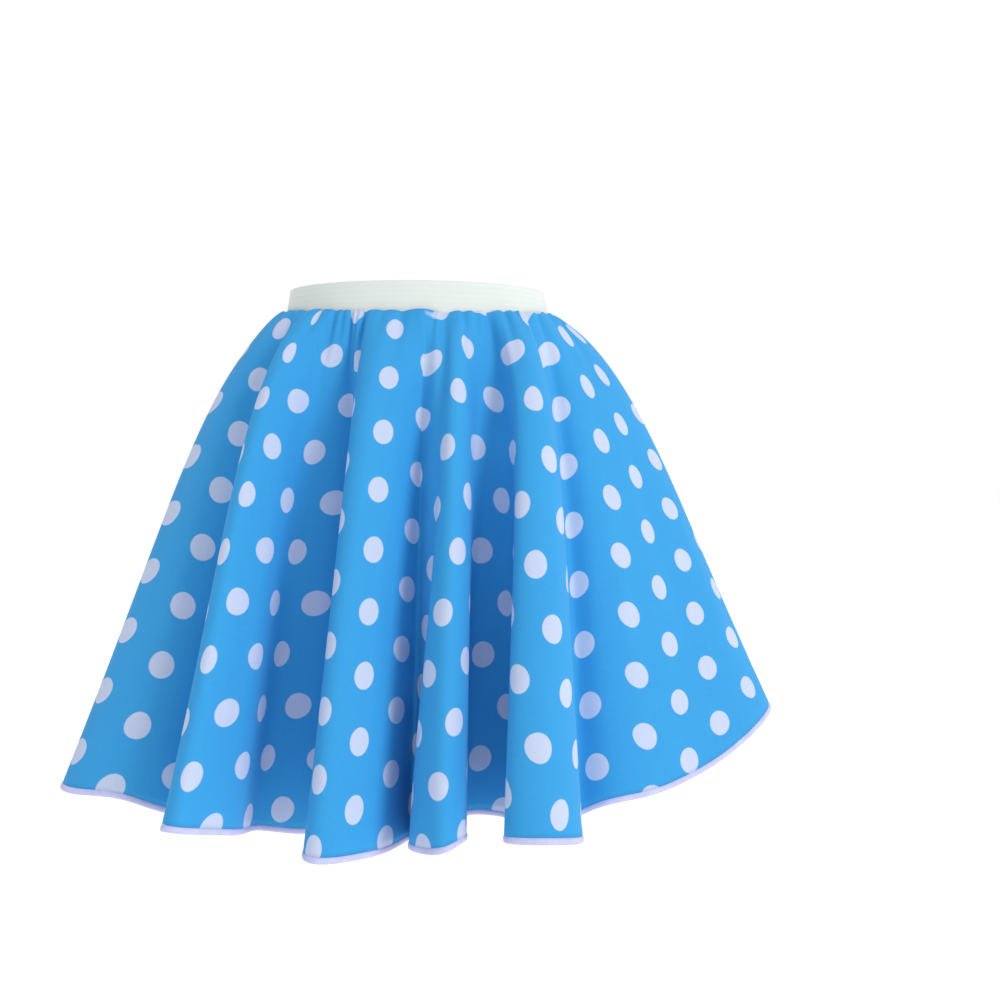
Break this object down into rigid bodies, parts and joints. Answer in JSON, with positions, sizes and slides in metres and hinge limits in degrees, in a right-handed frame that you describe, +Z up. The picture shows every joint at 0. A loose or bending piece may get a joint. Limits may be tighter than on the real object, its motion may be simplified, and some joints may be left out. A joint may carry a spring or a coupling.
{
  "type": "circle skirt",
  "caption": "Full circle skirt, knee length on an adult, gathered to an elastic waistband and hanging open in deep soft folds.",
  "frame": {"origin": "middle of the waistband, on the centre line of the waist opening, where the wearer's waist holds the skirt", "axes": "+Z up along the body, -Y to the front, +X to the viewer's right when the skirt is seen from the front"},
  "size_m": [0.6567, 0.5394, 0.4832],
  "materials": {
    "elastic": "matte off-white woven elastic",
    "dotted_cloth": "soft low sheen, bright blue plain weave with round pale dots",
    "overlock_thread": "matte pale lavender overlock stitches"
  },
  "bodies": {
    "root": {"waistband": "elastic", "skirt_front": "dotted_cloth", "skirt_back": "dotted_cloth", "hem_edge_front": "overlock_thread", "hem_edge_back": "overlock_thread"}
  },
  "joints": []
}
